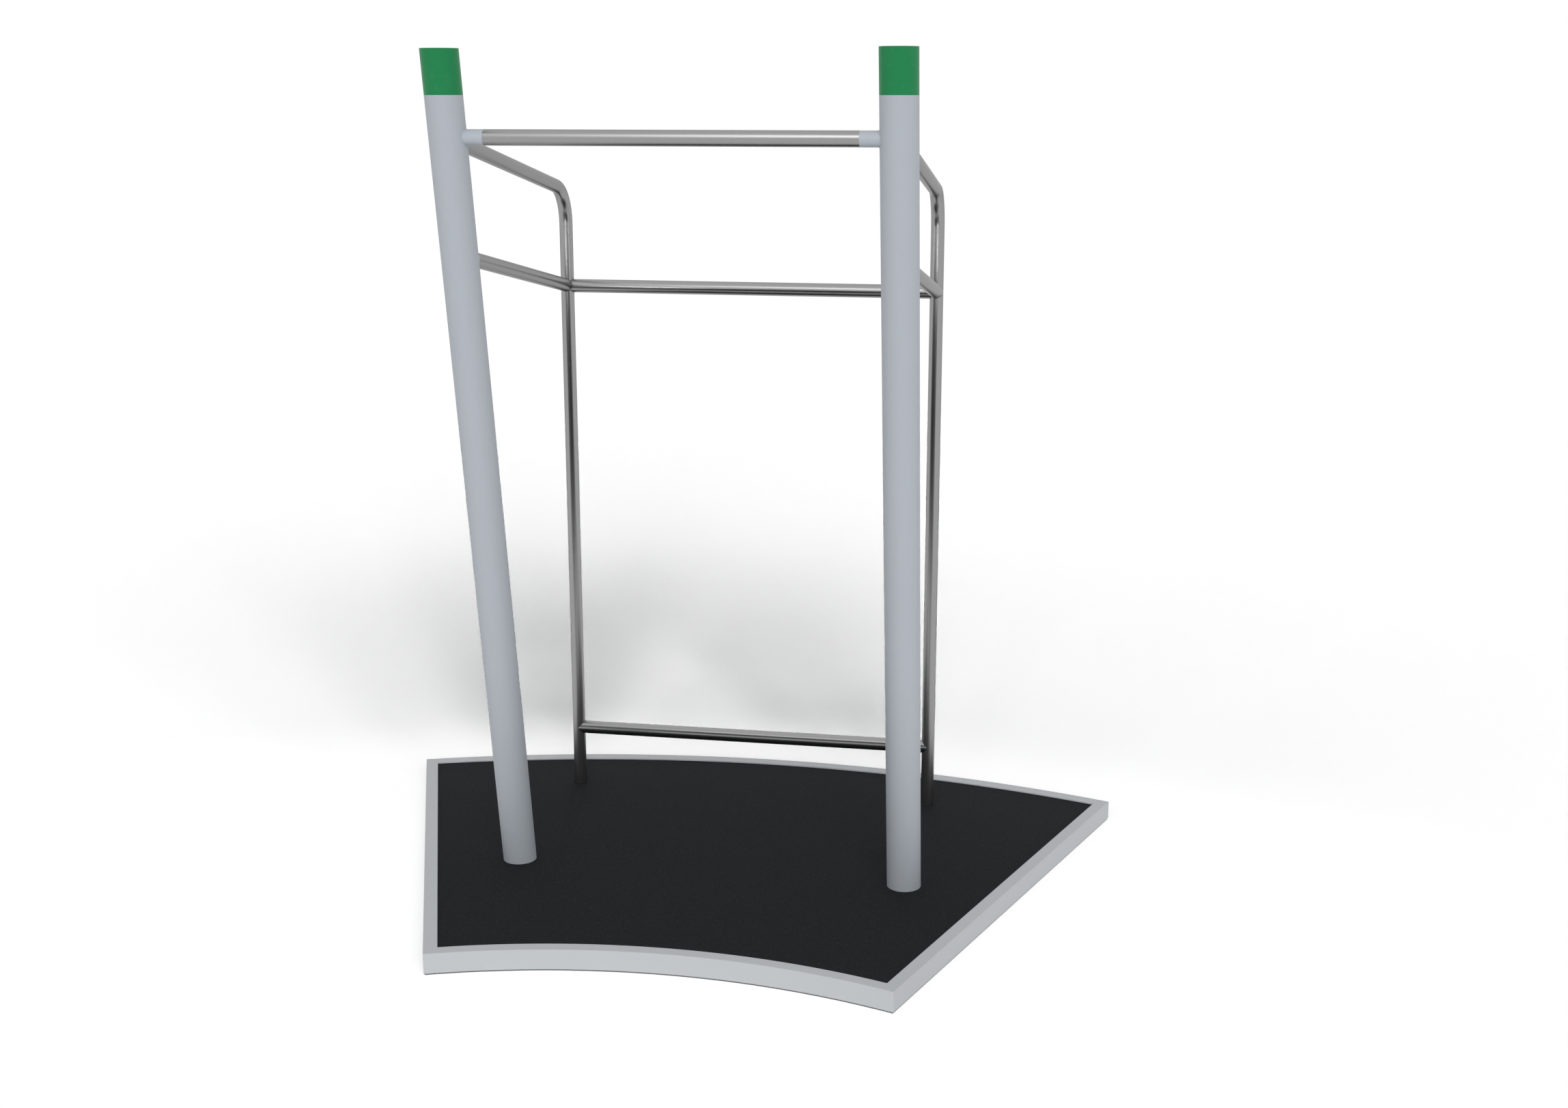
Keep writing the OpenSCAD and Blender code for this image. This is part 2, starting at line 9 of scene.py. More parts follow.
import bmesh
import bpy
from mathutils import Color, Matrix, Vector


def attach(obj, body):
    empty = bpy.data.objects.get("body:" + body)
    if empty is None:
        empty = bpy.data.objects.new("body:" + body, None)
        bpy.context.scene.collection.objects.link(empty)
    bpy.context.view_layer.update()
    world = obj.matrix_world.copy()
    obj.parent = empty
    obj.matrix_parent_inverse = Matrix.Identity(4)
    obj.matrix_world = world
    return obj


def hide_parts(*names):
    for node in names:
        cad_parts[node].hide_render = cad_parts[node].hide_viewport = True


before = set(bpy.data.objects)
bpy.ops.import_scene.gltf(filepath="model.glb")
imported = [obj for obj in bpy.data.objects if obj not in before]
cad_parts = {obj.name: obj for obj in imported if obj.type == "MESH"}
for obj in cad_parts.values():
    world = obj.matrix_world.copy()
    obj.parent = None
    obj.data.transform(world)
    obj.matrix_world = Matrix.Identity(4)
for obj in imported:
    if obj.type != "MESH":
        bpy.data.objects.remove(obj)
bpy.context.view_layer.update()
BODY = "root"
LOG = logging.getLogger("station")

Colour = tuple[float, float, float, float]
Triple = tuple[float, float, float]
Pair = tuple[float, float]
Piece = bpy.types.Object

WHITE: Colour = (1.0, 1.0, 1.0, 1.0)
MIDDLE = 0.5  # of a value from 0 to 1
SCREEN_TOP = 255
MIX_FIRST, MIX_SECOND, MIX_RESULT = 6, 7, 2  # the Mix node's sockets for colours
ALONG_X = Vector((1.0, 0.0, 0.0))
UP = Vector((0.0, 0.0, 1.0))
DOWN = Vector((0.0, 0.0, -1.0))


class Side(Enum):
    """The two sides of the station, as the sign of X."""

    LEFT = -1
    RIGHT = 1


class Run(Enum):
    """The way a steel tube runs, which sets how its grinding lines lie."""

    ACROSS = "across"
    SLOPING = "sloping"
    BENT = "bent"


@dataclass(frozen=True)
class Layout:
    """Sizes that more than one sub-assembly needs, in metres and radians, as the CAD has them.

    The posts lean as far as the side bars slope. The top and mid points are where the bars' axes meet the
    posts'.
    """

    half_width: float = 0.6
    tube_radius: float = 0.0212
    slope: float = math.radians(10)
    arc_centre_y: float = -2.65241
    upright_y: float = 0.5376
    bend_y: float = 0.4106
    bend_z: float = 1.96325
    bend_radius: float = 0.127
    top_y: float = -0.5353
    top_z: float = 2.259
    mid_y: float = -0.4799
    mid_z: float = 1.9446

    def back(self) -> Vector:
        """Gives the direction in which the side bars run back and down."""
        return Vector((0.0, math.cos(self.slope), -math.sin(self.slope)))

    def under(self) -> Vector:
        """Gives the direction of the side bars' underside."""
        return Vector((0.0, -math.sin(self.slope), -math.cos(self.slope)))

    def lean(self) -> Vector:
        """Gives the direction in which the posts rise and lean to the front."""
        return Vector((0.0, -math.sin(self.slope), math.cos(self.slope)))


LAYOUT = Layout()


def screen_colour(*levels: int) -> Colour:
    """Turns a screen colour, from 0 to 255, into the linear colour that a shader takes."""
    screen = Color([level / SCREEN_TOP for level in levels])
    return (*screen.from_srgb_to_scene_linear(), 1.0)


def scaled(colour: Colour, factor: float) -> Colour:
    """Gives a colour times a factor, still opaque."""
    return colour[0] * factor, colour[1] * factor, colour[2] * factor, 1.0


def both_sides(*parts: str) -> list[str]:
    """Gives the CAD nodes' names of parts that are there once on each side."""
    return [f"{side.name.lower()}_{part}" for side in Side for part in parts]


def deselect_all() -> None:
    """Leaves edit mode and deselects every object, so that the next operator acts on its own piece alone."""
    if bpy.context.mode != "OBJECT":
        bpy.ops.object.mode_set(mode="OBJECT")
    bpy.ops.object.select_all(action="DESELECT")


def pick(piece: Piece) -> None:
    """Makes a piece the active object and the only selected one.

    Args:
        piece: The piece.
    """
    deselect_all()
    bpy.context.view_layer.objects.active = piece
    piece.select_set(True)


def settle_place(piece: Piece) -> None:
    """Picks a piece and puts its place, turn and scale into its mesh, which leaves it at the origin."""
    pick(piece)
    bpy.ops.object.transform_apply(location=True, rotation=True, scale=True)


def mirrored_copy(piece: Piece) -> Piece:
    """Copies a left piece, with a mesh of its own, to the right.

    Args:
        piece: The piece.

    Returns:
        The copy, its faces pointing outwards.
    """
    copy = bpy.data.objects.new(piece.name.replace("left", "right"), piece.data.copy())
    copy.data.name = copy.name
    copy.scale = (-1.0, 1.0, 1.0)
    bpy.context.scene.collection.objects.link(copy)
    settle_place(copy)
    bpy.ops.object.mode_set(mode="EDIT")
    bpy.ops.mesh.select_all(action="SELECT")
    bpy.ops.mesh.normals_make_consistent(inside=False)
    bpy.ops.object.mode_set(mode="OBJECT")
    return copy


def close_seams(nearest: float) -> None:
    """Merges what the operators left double and turns the faces outwards, in edit mode.

    Args:
        nearest: How close together points are merged.
    """
    bpy.ops.mesh.select_all(action="SELECT")
    bpy.ops.mesh.remove_doubles(threshold=nearest)
    bpy.ops.mesh.normals_make_consistent(inside=False)


def round_edges(
    piece: Piece, chosen: Callable[[bmesh.types.BMEdge], bool], width: float, segments: int
) -> None:
    """Rounds the edges that pass a test.

    Args:
        piece: The piece, in edit mode.
        chosen: The test.
        width: How far the round reaches to each side.
        segments: Its steps.
    """
    bpy.ops.mesh.select_mode(type="EDGE")
    bpy.ops.mesh.select_all(action="DESELECT")
    shape = bmesh.from_edit_mesh(piece.data)
    for edge in shape.edges:
        edge.select_set(chosen(edge))
    bmesh.update_edit_mesh(piece.data)
    bpy.ops.mesh.bevel(offset=width, segments=segments, affect="EDGES")


def bore(
    piece: Piece,
    radius: float,
    length: float,
    middle: Sequence[float],
    turn: Sequence[float],
    sides: int,
) -> None:
    """Takes a round cutter out of a piece.

    Args:
        piece: The piece.
        radius: The cutter's radius.
        length: How long it is.
        middle: Where its middle is.
        turn: How it is turned from standing upright.
        sides: The sides of its round.
    """
    deselect_all()
    bpy.ops.mesh.primitive_cylinder_add(
        vertices=sides, radius=radius, depth=length, location=middle, rotation=turn
    )
    cutter = bpy.context.object
    settle_place(cutter)
    pick(piece)
    bite = piece.modifiers.new("bite", "BOOLEAN")
    bite.operation = "DIFFERENCE"
    bite.solver = "EXACT"
    bite.object = cutter
    bpy.ops.object.modifier_apply(modifier=bite.name)
    bpy.data.objects.remove(cutter)


class Wire:
    """An output socket of a node tree, on which sums are written as plain arithmetic."""

    def __init__(self, shade: "Shade", socket: bpy.types.NodeSocket) -> None:
        """Keeps the tree that the socket belongs to, and the socket."""
        self.shade = shade
        self.socket = socket

    def other(self, output: str) -> "Wire":
        """Gives another output of the same node, by its name."""
        return Wire(self.shade, self.socket.node.outputs[output])

    def swing(self, width: float) -> "Wire":
        """Turns a value from 0 to 1 into one that swings about 0, from end to end by a width."""
        return (self - MIDDLE) * width

    def __add__(self, term: "Wire | float") -> "Wire":
        """Adds a value or another wire."""
        return self.shade.sum("ADD", self, term)

    def __radd__(self, term: float) -> "Wire":
        """Adds the wire to a value."""
        return self.shade.sum("ADD", term, self)

    def __sub__(self, term: "Wire | float") -> "Wire":
        """Takes a value or another wire away."""
        return self.shade.sum("SUBTRACT", self, term)

    def __rsub__(self, term: float) -> "Wire":
        """Takes the wire away from a value."""
        return self.shade.sum("SUBTRACT", term, self)

    def __mul__(self, term: "Wire | float") -> "Wire":
        """Multiplies by a value or another wire."""
        return self.shade.sum("MULTIPLY", self, term)

    def __rmul__(self, term: float) -> "Wire":
        """Multiplies a value by the wire."""
        return self.shade.sum("MULTIPLY", term, self)


@dataclass(frozen=True)
class Layer:
    """One layer of cloudy noise in a finish, and what it does there.

    Fields: clouds per metre, about, octaves of finer noise and the share that each keeps; where its rise
    from 0 to 1 starts and ends; how far it changes tone and roughness; and, as bump, the metres of a
    height of 1 and how much of it shows.
    """

    scale: float
    octaves: float = 2.0
    keep: float = 0.5
    rise: Pair | None = None
    tone: float = 0.0
    matt: float = 0.0
    relief: Pair = (0.0, 0.0)


class Shade:
    """A node tree that is written as Python expressions."""

    def __init__(self, tree: bpy.types.NodeTree) -> None:
        """Keeps the tree and empties it."""
        self.tree = tree
        self.tree.nodes.clear()

    def node(
        self,
        kind: str,
        settings: Mapping[str, object] | None = None,
        sockets: Mapping[str | int, object] | None = None,
        output: str | int = 0,
    ) -> Wire | None:
        """Makes any node: its settings are set first, then its sockets.

        Args:
            kind: The node's type name, after ShaderNode.
            settings: Properties of the node.
            sockets: Values or wires for its inputs, by name or number.
            output: The output to hand back.

        Returns:
            The output as a wire, or None for a node that has no output.
        """
        made = self.tree.nodes.new(f"ShaderNode{kind}")
        for name, setting in (settings or {}).items():
            setattr(made, name, setting)
        for name, value in (sockets or {}).items():
            if isinstance(value, Wire):
                self.tree.links.new(value.socket, made.inputs[name])
            else:
                made.inputs[name].default_value = value
        return Wire(self, made.outputs[output]) if len(made.outputs) else None

    def sum(self, operation: str, *terms: Wire | float, clamp: bool = False) -> Wire:
        """Adds a Math node for wires and values, held between 0 and 1 where clamp is set."""
        return self.node("Math", {"operation": operation, "use_clamp": clamp}, dict(enumerate(terms)))

    def length(self, operation: str, *vectors: Wire | Triple) -> Wire:
        """Adds a Vector Math node that turns vectors into one value."""
        return self.node("VectorMath", {"operation": operation}, dict(enumerate(vectors)), "Value")

    def place(self) -> Wire:
        """Gives the place on the piece in object coordinates."""
        return self.node("TexCoord", output="Object")

    def split(self, vector: Wire) -> tuple[Wire, Wire, Wire]:
        """Splits a vector into its three parts."""
        along_x = self.node("SeparateXYZ", sockets={"Vector": vector})
        return along_x, along_x.other("Y"), along_x.other("Z")

    def joined(self, *parts: Wire | float) -> Wire:
        """Joins three parts into a vector."""
        return self.node("CombineXYZ", sockets=dict(enumerate(parts)))

    def noise(self, vector: Wire, layer: Layer) -> Wire:
        """Gives a layer's noise.

        Args:
            vector: Where it is read.
            layer: The layer.

        Returns:
            The noise, or its rise where the layer has one, from 0 to 1.
        """
        sockets = {"Vector": vector, "Scale": layer.scale, "Detail": layer.octaves, "Roughness": layer.keep}
        clouds = self.node("TexNoise", sockets=sockets, output="Fac")
        return self.step(clouds, *layer.rise) if layer.rise else clouds

    def grains(self, vector: Wire, scale: float) -> Wire:
        """Gives separate grains, as the colour of each cell and, as Distance, the way to its middle."""
        return self.node("TexVoronoi", sockets={"Vector": vector, "Scale": scale}, output="Color")

    def step(self, value: Wire, low: float, high: float) -> Wire:
        """Gives a smooth rise from 0 at low to 1 at high."""
        sockets = {"Value": value, "From Min": low, "From Max": high}
        return self.node("MapRange", {"interpolation_type": "SMOOTHSTEP"}, sockets)

    def mix(self, share: Wire | float, first: Wire | Colour, second: Wire | Colour) -> Wire:
        """Mixes two colours, share 1 being the second one."""
        sockets = {"Factor": share, MIX_FIRST: first, MIX_SECOND: second}
        return self.node("Mix", {"data_type": "RGBA"}, sockets, MIX_RESULT)

    def tinted(self, share: Wire, colour: Colour, shades: Pair) -> Wire:
        """Mixes two shades of a colour, each given as a factor, share 1 being the second one."""
        return self.mix(share, scaled(colour, shades[0]), scaled(colour, shades[1]))

    def bump(self, height: Wire, relief: Pair, below: Wire | None = None) -> Wire:
        """Turns a height into a normal.

        Args:
            height: The height from 0 to 1.
            relief: What a height of 1 is in metres, and how much of it shows, from 0 to 1.
            below: The normal that it is laid on.

        Returns:
            The normal.
        """
        sockets = {"Height": height, "Distance": relief[0], "Strength": relief[1]}
        if below is not None:
            sockets["Normal"] = below
        return self.node("Bump", sockets=sockets)

    def skin(self, colour: Wire, roughness: Wire, normal: Wire, others: Mapping[str, object]) -> Wire:
        """Gives the Principled shader with what varies on most finishes, and with others of its sockets."""
        sockets = {"Base Color": colour, "Roughness": roughness, "Normal": normal, **others}
        return self.node("BsdfPrincipled", sockets=sockets)

    def seen(self) -> Wire:
        """Tells rays that show a surface, straight or by way of metal or glass, from rays that light.

        Returns:
            1 on rays that show a surface, and 0 on lighting rays.
        """
        camera = self.node("LightPath", output="Is Camera Ray")
        shiny = self.sum("MAXIMUM", camera, camera.other("Is Glossy Ray"))
        return self.sum("MAXIMUM", shiny, camera.other("Is Transmission Ray"))


@dataclass(frozen=True)
class Finish:
    """A named finish, which makes its material once it is asked for.

    In the finishes, shades are the factors of the darkest and the lightest colour, a tone is how far
    something changes the colour, a matt how far it changes the roughness, and a rise where a change
    starts and ends.
    """

    name: str

    def material(self) -> bpy.types.Material:
        """Makes the material.

        Returns:
            The new material, with its whole node tree.
        """
        made = bpy.data.materials.new(self.name)
        made.use_nodes = True
        shade = Shade(made.node_tree)
        shade.node("OutputMaterial", sockets={"Surface": self.shader(shade)})
        return made

    def shader(self, shade: Shade) -> Wire:
        """Builds the finish's shader; each finish has its own."""
        raise NotImplementedError(self.name)


@dataclass(frozen=True)
class PowderCoat(Finish):
    """Satin powder coat: a baked skin with a fine orange peel and a sandy grain."""

    colour: Colour
    roughness: float = 0.58
    # The next three fields paint shade on the coat: how dark it gets towards the floor, where that starts and
    # ends in height, and how far its edge wobbles.
    foot_shade_tone: float = 0.0
    foot_shade_rise: Pair = (0.05, 0.75)
    foot_shade_edge: float = 0.05
    drift: Layer = Layer(7.0, 3.0, tone=0.035)
    sand: Layer = Layer(1400.0, 1.0, tone=0.05, matt=0.10, relief=(0.0001, 0.25))
    peel: Layer = Layer(420.0, 2.0, 0.45, relief=(0.0002, 0.30))
    rub: Layer = Layer(16.0, 6.0, 0.62, rise=(0.60, 0.74), matt=0.07)
    shades: Pair = (0.5, 1.5)
    specular: float = 0.5

    def shader(self, shade: Shade) -> Wire:
        """Builds the coat: drifting thickness, sandy grain, orange peel, rubbed places and painted shade that
        darkens it towards the foot.

        Args:
            shade: The material's tree.

        Returns:
            The shader.
        """
        place = shade.place()
        layers = (self.drift, self.sand, self.peel, self.rub)
        drift, sand, peel, rubbed = (shade.noise(place, layer) for layer in layers)
        # Painted shade: the coat darkens towards the floor, and the rubbed places wobble its edge.
        height = shade.split(place)[2] + rubbed.swing(self.foot_shade_edge)
        foot_shade = (1.0 - shade.step(height, *self.foot_shade_rise)) * self.foot_shade_tone
        tone = 1.0 + drift.swing(self.drift.tone) + sand.swing(self.sand.tone) - foot_shade
        low, high = self.shades
        share = shade.sum("MULTIPLY", tone - low, 1.0 / (high - low), clamp=True)
        roughness = self.roughness + sand.swing(self.sand.matt) - rubbed * self.rub.matt
        normal = shade.bump(sand, self.sand.relief, shade.bump(peel, self.peel.relief))
        colour = shade.tinted(share, self.colour, self.shades)
        return shade.skin(colour, roughness, normal, {"Specular IOR Level": self.specular})


@dataclass(frozen=True)
class GroundSteel(Finish):
    """Stainless tube, ground with a belt so that lines run round it.

    Fields: fine and coarse lines are stretched noise, and their stretches are per metre, along the tube
    and round it.
    """

    run: Run
    colour: Colour = (0.33, 0.33, 0.33, 1.0)
    roughness: float = 0.28
    fine: Layer = Layer(1.0, 2.0, tone=0.16, matt=0.01)
    fine_stretch: Pair = (2600.0, 45.0)
    coarse: Layer = Layer(1.0, 3.0, tone=0.14, relief=(0.000004, 0.10))
    coarse_stretch: Pair = (420.0, 20.0)
    smear: Layer = Layer(9.0, 4.0, 0.6, tone=0.12, matt=0.02)
    shades: Pair = (0.88, 1.12)
    edge_tint: Colour = (0.6, 0.6, 0.6, 1.0)

    def along(self, shade: Shade, place: Wire) -> Wire:
        """Gives the distance along the tube.

        Args:
            shade: The material's tree.
            place: The place on the tube.

        Returns:
            Metres along the tube, from any start.
        """
        x, y, z = shade.split(place)
        slope, radius = LAYOUT.slope, LAYOUT.bend_radius
        if self.run is Run.ACROSS:
            return x
        if self.run is Run.SLOPING:
            return y * math.cos(slope) - z * math.sin(slope)
        turn = math.pi / 2 - slope
        over, up = y - LAYOUT.bend_y, z - LAYOUT.bend_z
        angle = shade.sum("ARCTAN2", up, over)
        bend = shade.sum("MINIMUM", shade.sum("MAXIMUM", angle, 0.0), turn) * radius
        ahead = (over - radius * math.cos(turn)) * -math.cos(slope)
        rise = (up - radius * math.sin(turn)) * math.sin(slope)
        arm = shade.sum("MAXIMUM", ahead + rise, 0.0)
        return shade.sum("MINIMUM", up, 0.0) + bend + arm

    def shader(self, shade: Shade) -> Wire:
        """Builds the steel: fine and coarse grinding lines round the tube, and faint hand smears.

        Args:
            shade: The material's tree.

        Returns:
            The shader.
        """
        place = shade.place()
        x, y, z = shade.split(place)
        run, aside = self.along(shade, place), y + z

        def lines(layer: Layer, along: float, around: float) -> Wire:
            """Gives grinding lines of one fineness."""
            return shade.noise(shade.joined(run * along, x * around, aside * around), layer)

        fine = lines(self.fine, *self.fine_stretch)
        coarse = lines(self.coarse, *self.coarse_stretch)
        smear = shade.noise(place, self.smear)
        tone = MIDDLE + fine.swing(self.fine.tone) + coarse.swing(self.coarse.tone)
        colour = shade.tinted(tone + smear.swing(self.smear.tone), self.colour, self.shades)
        roughness = self.roughness + fine.swing(self.fine.matt) + smear.swing(self.smear.matt)
        normal = shade.bump(coarse, self.coarse.relief)
        return shade.skin(colour, roughness, normal, {"Metallic": 1.0, "Specular Tint": self.edge_tint})


@dataclass(frozen=True)
class ZincPlate(Finish):
    """Hot-dip zinc with its frost of crystals, dull where it has aged."""

    colour: Colour = (0.46, 0.47, 0.48, 1.0)
    roughness: float = 0.42
    crystal: float = 90.0
    crystal_matt: float = 0.16
    shades: Pair = (0.72, 1.22)
    bloom: Layer = Layer(22.0, 5.0, 0.6, rise=(0.48, 0.72), tone=0.45, matt=0.22)
    bloom_colour: Colour = (0.50, 0.50, 0.49, 1.0)
    bloom_cover: float = 0.35
    skin: Layer = Layer(260.0, 3.0, relief=(0.0002, 0.25))

    def shader(self, shade: Shade) -> Wire:
        """Builds the zinc: crystals of uneven tone, with white bloom between them.

        Args:
            shade: The material's tree.

        Returns:
            The shader.
        """
        place = shade.place()
        tone = shade.split(shade.grains(place, self.crystal))[0]
        bloom = shade.noise(place, self.bloom)
        frosted = shade.tinted(tone, self.colour, self.shades)
        colour = shade.mix(bloom * self.bloom.tone, frosted, self.bloom_colour)
        roughness = self.roughness + tone.swing(self.crystal_matt) + bloom * self.bloom.matt
        normal = shade.bump(shade.noise(place, self.skin), self.skin.relief)
        return shade.skin(colour, roughness, normal, {"Metallic": 1.0 - bloom * self.bloom_cover})


@dataclass(frozen=True)
class MouldedPlastic(Finish):
    """Through-coloured plastic with a fine spark-eroded skin."""

    colour: Colour
    roughness: float = 0.40
    skin: Layer = Layer(900.0, tone=0.18, matt=0.12, relief=(0.00008, 0.35))
    flow: Layer = Layer(14.0, 3.0, tone=0.30)
    shades: Pair = (0.90, 1.10)
    dust: Layer = Layer(55.0, 5.0, 0.65, rise=(0.52, 0.80), tone=0.05, matt=0.06)
    dust_colour: Colour = (0.45, 0.46, 0.44, 1.0)
    specular: float = 0.18

    def shader(self, shade: Shade) -> Wire:
        """Builds the plastic: a fine skin, faint flow clouds and a little dust.

        Args:
            shade: The material's tree.

        Returns:
            The shader.
        """
        place = shade.place()
        skin, flow, dust = (shade.noise(place, layer) for layer in (self.skin, self.flow, self.dust))
        tone = MIDDLE + flow.swing(self.flow.tone) + skin.swing(self.skin.tone)
        body = shade.tinted(tone, self.colour, self.shades)
        colour = shade.mix(dust * self.dust.tone, body, self.dust_colour)
        roughness = self.roughness + skin.swing(self.skin.matt) + dust * self.dust.matt
        normal = shade.bump(skin, self.skin.relief)
        return shade.skin(colour, roughness, normal, {"Specular IOR Level": self.specular})


@dataclass(frozen=True)
class RubberGranulate(Finish):
    """Rubber crumb pressed into a sheet: black granules with a few paler ones, bound with resin."""

    colour: Colour
    roughness: float = 0.86
    granule: float = 420.0
    granule_matt: float = 0.12
    granule_relief: Pair = (0.0009, 0.45)
    shades: Pair = (0.70, 1.30)
    speck_rise: Pair = (0.93, 0.97)
    speck_shade: float = 2.6
    speck_tone: float = 0.5
    wear: Layer = Layer(5.0, 4.0, 0.6, tone=0.30, matt=0.10)
    wear_shade: float = 1.7
    wear_least: float = 0.10
    pores: Layer = Layer(1500.0, relief=(0.0002, 0.3))
    specular: float = 0.06

    def shader(self, shade: Shade) -> Wire:
        """Builds the crumb: black granules and pale specks, the gaps between them, worn patches and pores.

        Args:
            shade: The material's tree.

        Returns:
            The shader.
        """
        place = shade.place()
        cell = shade.grains(place, self.granule)
        tone, pale, _ = shade.split(cell)
        worn = shade.noise(place, self.wear)
        black = shade.tinted(tone, self.colour, self.shades)
        speck = shade.step(pale, *self.speck_rise) * self.speck_tone
        flecked = shade.mix(speck, black, scaled(self.colour, self.speck_shade))
        wear = worn.swing(self.wear.tone) + self.wear_least
        colour = shade.mix(wear, flecked, scaled(self.colour, self.wear_shade))
        roughness = self.roughness + tone.swing(self.granule_matt) + worn.swing(self.wear.matt)
        pored = shade.bump(shade.noise(place, self.pores), self.pores.relief)
        normal = shade.bump(1.0 - cell.other("Distance"), self.granule_relief, pored)
        return shade.skin(colour, roughness, normal, {"Specular IOR Level": self.specular})


@dataclass(frozen=True)
class StripRubber(Finish):
    """Plain grey bearing strip, matt, with the ripple of its extrusion."""

    colour: Colour
    roughness: float = 0.80
    bloom: Layer = Layer(60.0, 4.0, 0.6, matt=0.16)
    shades: Pair = (0.80, 1.20)
    ripple: Layer = Layer(800.0, relief=(0.0002, 0.3))

    def shader(self, shade: Shade) -> Wire:
        """Builds the strip: chalky bloom over a fine ripple.

        Args:
            shade: The material's tree.

        Returns:
            The shader.
        """
        place = shade.place()
        bloom = shade.noise(place, self.bloom)
        colour = shade.tinted(bloom, self.colour, self.shades)
        normal = shade.bump(shade.noise(place, self.ripple), self.ripple.relief)
        return shade.skin(colour, self.roughness + bloom.swing(self.bloom.matt), normal, {})


@dataclass(frozen=True)
class StudioFloor(Finish):
    """White studio floor that keeps the shadow which the camera sees.

    The camera sees the light that falls on the floor from the front, with its shadows drawn out by a
    gain. The gain grows behind the base, from its least share, and fades far away, and the open floor
    stays white. Steel sees plain white.
    """

    mirrored: float = 0.96
    open_light: float = 0.646
    level: float = 1.02
    gain: float = 4.2
    lean: Triple = (0.18, -0.85, 0.50)
    arc_centre: Triple = (0.0, LAYOUT.arc_centre_y, 0.0)
    near: Pair = (3.70, 4.36)
    far: Pair = (7.0, 10.5)
    least: float = 0.15

    def shader(self, shade: Shade) -> Wire:
        """Builds the floor: a white that throws light back, one that steel sees and one that the camera sees.

        Args:
            shade: The material's tree.

        Returns:
            The shader.
        """
        back = shade.node("BsdfDiffuse", sockets={"Color": WHITE})
        plain = shade.node("Emission", sockets={"Strength": self.mirrored})
        unseen = shade.node("MixShader", sockets={0: shade.seen(), 1: back, 2: plain})
        place = shade.place()
        behind = shade.step(shade.length("DISTANCE", place, self.arc_centre), *self.near)
        away = shade.step(shade.length("LENGTH", place), *self.far)
        share = (self.least + behind * (1.0 - self.least)) * (1.0 - away)
        bright = share * (self.gain / self.open_light)
        rest = self.level - share * self.gain
        tilted = {"Color": shade.joined(bright, bright, bright), "Normal": shade.joined(*self.lean)}
        drawn = shade.node("BsdfDiffuse", sockets=tilted)
        even = shade.node("Emission", sockets={"Color": shade.joined(rest, rest, rest)})
        seen = shade.node("AddShader", sockets={0: drawn, 1: even})
        camera = shade.node("LightPath", output="Is Camera Ray")
        return shade.node("MixShader", sockets={0: camera, 1: unseen, 2: seen})


@dataclass(frozen=True)
class CardFace(Finish):
    """Face of a studio card, dark or lit, that changes from one level to another in one direction.

    Fields: the two levels, 1 being white, the distance beyond which surfaces see the card, and where
    along X and along Z the change starts and ends.
    """

    first: float
    last: float
    nearest: float
    start: Pair = (0.0, 0.0)
    end: Pair = (1.0, 0.0)

    def shader(self, shade: Shade) -> Wire:
        """Builds the face as a soft change of tone, clear to surfaces that are too near.

        Args:
            shade: The material's tree.

        Returns:
            The shader.
        """
        x, _, z = shade.split(shade.place())
        over, up = self.end[0] - self.start[0], self.end[1] - self.start[1]
        length = over * over + up * up
        along = (x - self.start[0]) * (over / length) + (z - self.start[1]) * (up / length)
        tone = shade.tinted(shade.step(along, 0.0, 1.0), WHITE, (self.first, self.last))
        face = shade.node("Emission", sockets={"Color": tone})
        clear = shade.node("BsdfTransparent")
        reached = shade.sum("GREATER_THAN", shade.node("LightPath", output="Ray Length"), self.nearest)
        return shade.node("MixShader", sockets={0: reached, 1: clear, 2: face})


def dress(names: Sequence[str], material: bpy.types.Material) -> None:
    """Gives CAD nodes a finish, through the material slots that they have.

    Args:
        names: The nodes.
        material: The finish's material.
    """
    for name in names:
        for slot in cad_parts[name].material_slots:
            slot.material = material
        LOG.info("%s: %s", name, material.name)


def coat(pieces: Sequence[Piece], material: bpy.types.Material) -> None:
    """Gives new pieces their finish.

    Args:
        pieces: The pieces, which have no finish yet.
        material: The finish's material.
    """
    for piece in pieces:
        piece.data.materials.append(material)
        LOG.info("%s: %s", piece.name, material.name)


@dataclass(frozen=True)
class Foot:
    """Opening in the mat for a foot: a hole for the tube and, under it, a pocket for the flange.

    Fields: Y of the tube's axis at the mat's top, its lean to the front, the radii of the hole and of the
    pocket, and the height of the pocket's top.
    """

    y: float
    lean: float
    hole: float
    pocket: float
    pocket_top: float


